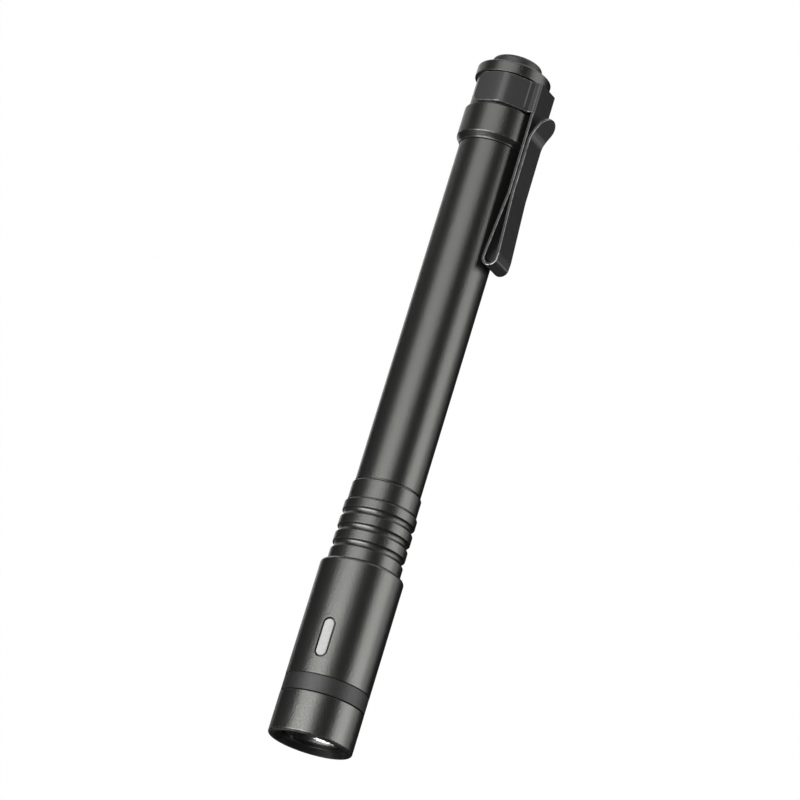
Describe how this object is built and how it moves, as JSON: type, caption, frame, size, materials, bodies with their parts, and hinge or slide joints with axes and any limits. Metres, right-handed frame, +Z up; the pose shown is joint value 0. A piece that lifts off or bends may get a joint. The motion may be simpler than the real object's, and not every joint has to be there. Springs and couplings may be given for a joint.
{
  "type": "penlight",
  "caption": "Slim black penlight with a tail push button, an oval side key, a ribbed neck, a wider head with a recessed lens and a folded two-way pocket clip.",
  "frame": {"origin": "on the beam axis, in the plane of the bezel's front rim", "axes": "+X along the beam, out of the head; +Y towards the pocket clip; +Z up, close to the side key's direction"},
  "size_m": [0.1491, 0.0208, 0.017],
  "materials": {
    "anodised": "satin black anodised",
    "lens_glass": "clear, coated",
    "seal_rubber": "matt",
    "mirror_cup": "polished",
    "phosphor": "translucent",
    "white_board": "white solder mask",
    "bare_aluminium": "machined",
    "band_rubber": "matt",
    "key_plastic": "matt, translucent",
    "black_plastic": "matt",
    "circuit_board": "solder mask",
    "contact_brass": "plated",
    "cell_sleeve": "printed sleeve",
    "clip_steel": "matt black over spring steel",
    "ivory_plastic": "moulded",
    "spring_steel": "drawn wire",
    "button_face": "satin black anodised"
  },
  "bodies": {
    "body": {"bezel": "anodised", "lens": "lens_glass", "lens_gasket": "seal_rubber", "reflector": "mirror_cup", "led_emitter": "phosphor", "led_board": "white_board", "heat_sink": "bare_aluminium", "head_sleeve": "anodised", "band_ring": "band_rubber", "key_switch": "black_plastic", "key_board": "circuit_board", "status_led": "phosphor", "board_carrier": "black_plastic", "driver_board": "circuit_board", "driver_chip": "black_plastic", "front_contact": "contact_brass", "front_spring": "contact_brass", "grip_neck": "anodised", "neck_oring": "seal_rubber", "body_tube": "anodised", "cell_front": "cell_sleeve", "cell_rear": "cell_sleeve", "tail_oring": "seal_rubber"},
    "side_key": {"side_key": "key_plastic", "key_stem": "black_plastic"},
    "tail_cap": {"tail_cap": "anodised", "clip_band": "clip_steel", "tail_spring": "contact_brass", "tail_contact": "contact_brass", "switch_retainer": "contact_brass", "switch_body": "black_plastic", "button_spring": "spring_steel", "button_oring": "seal_rubber"},
    "tail_button": {"tail_button": "button_face", "switch_plunger": "ivory_plastic"},
    "clip_arm": {"clip_arm": "clip_steel"},
    "clip_tongue": {"clip_tongue": "clip_steel"}
  },
  "joints": [
    {"name": "cap_off", "type": "slide", "parent": "body", "child": "tail_cap", "axis": [-1, 0, 0], "range_m": [0, 0.03]},
    {"name": "button_press", "type": "slide", "parent": "tail_cap", "child": "tail_button", "axis": [1, 0, 0], "range_m": [0, 0.0016], "stiffness_N_per_m": 1500, "springref_m": -0.001, "deforming": ["button_spring"]},
    {"name": "key_press", "type": "slide", "parent": "body", "child": "side_key", "axis": [0, -0.1736, -0.9848], "range_m": [0, 0.0004], "stiffness_N_per_m": 3500, "springref_m": -0.0002},
    {"name": "clip_lift", "type": "hinge", "parent": "tail_cap", "child": "clip_arm", "pos_m": [-0.13692, 0.009, 0], "axis": [0, 0, 1], "range_deg": [0, 4], "stiffness_Nm_per_rad": 0.8},
    {"name": "tongue_lift", "type": "hinge", "parent": "clip_arm", "child": "clip_tongue", "pos_m": [-0.10568, 0.01056, 0], "axis": [0, 0, -1], "range_deg": [0, 5], "stiffness_Nm_per_rad": 0.6}
  ]
}
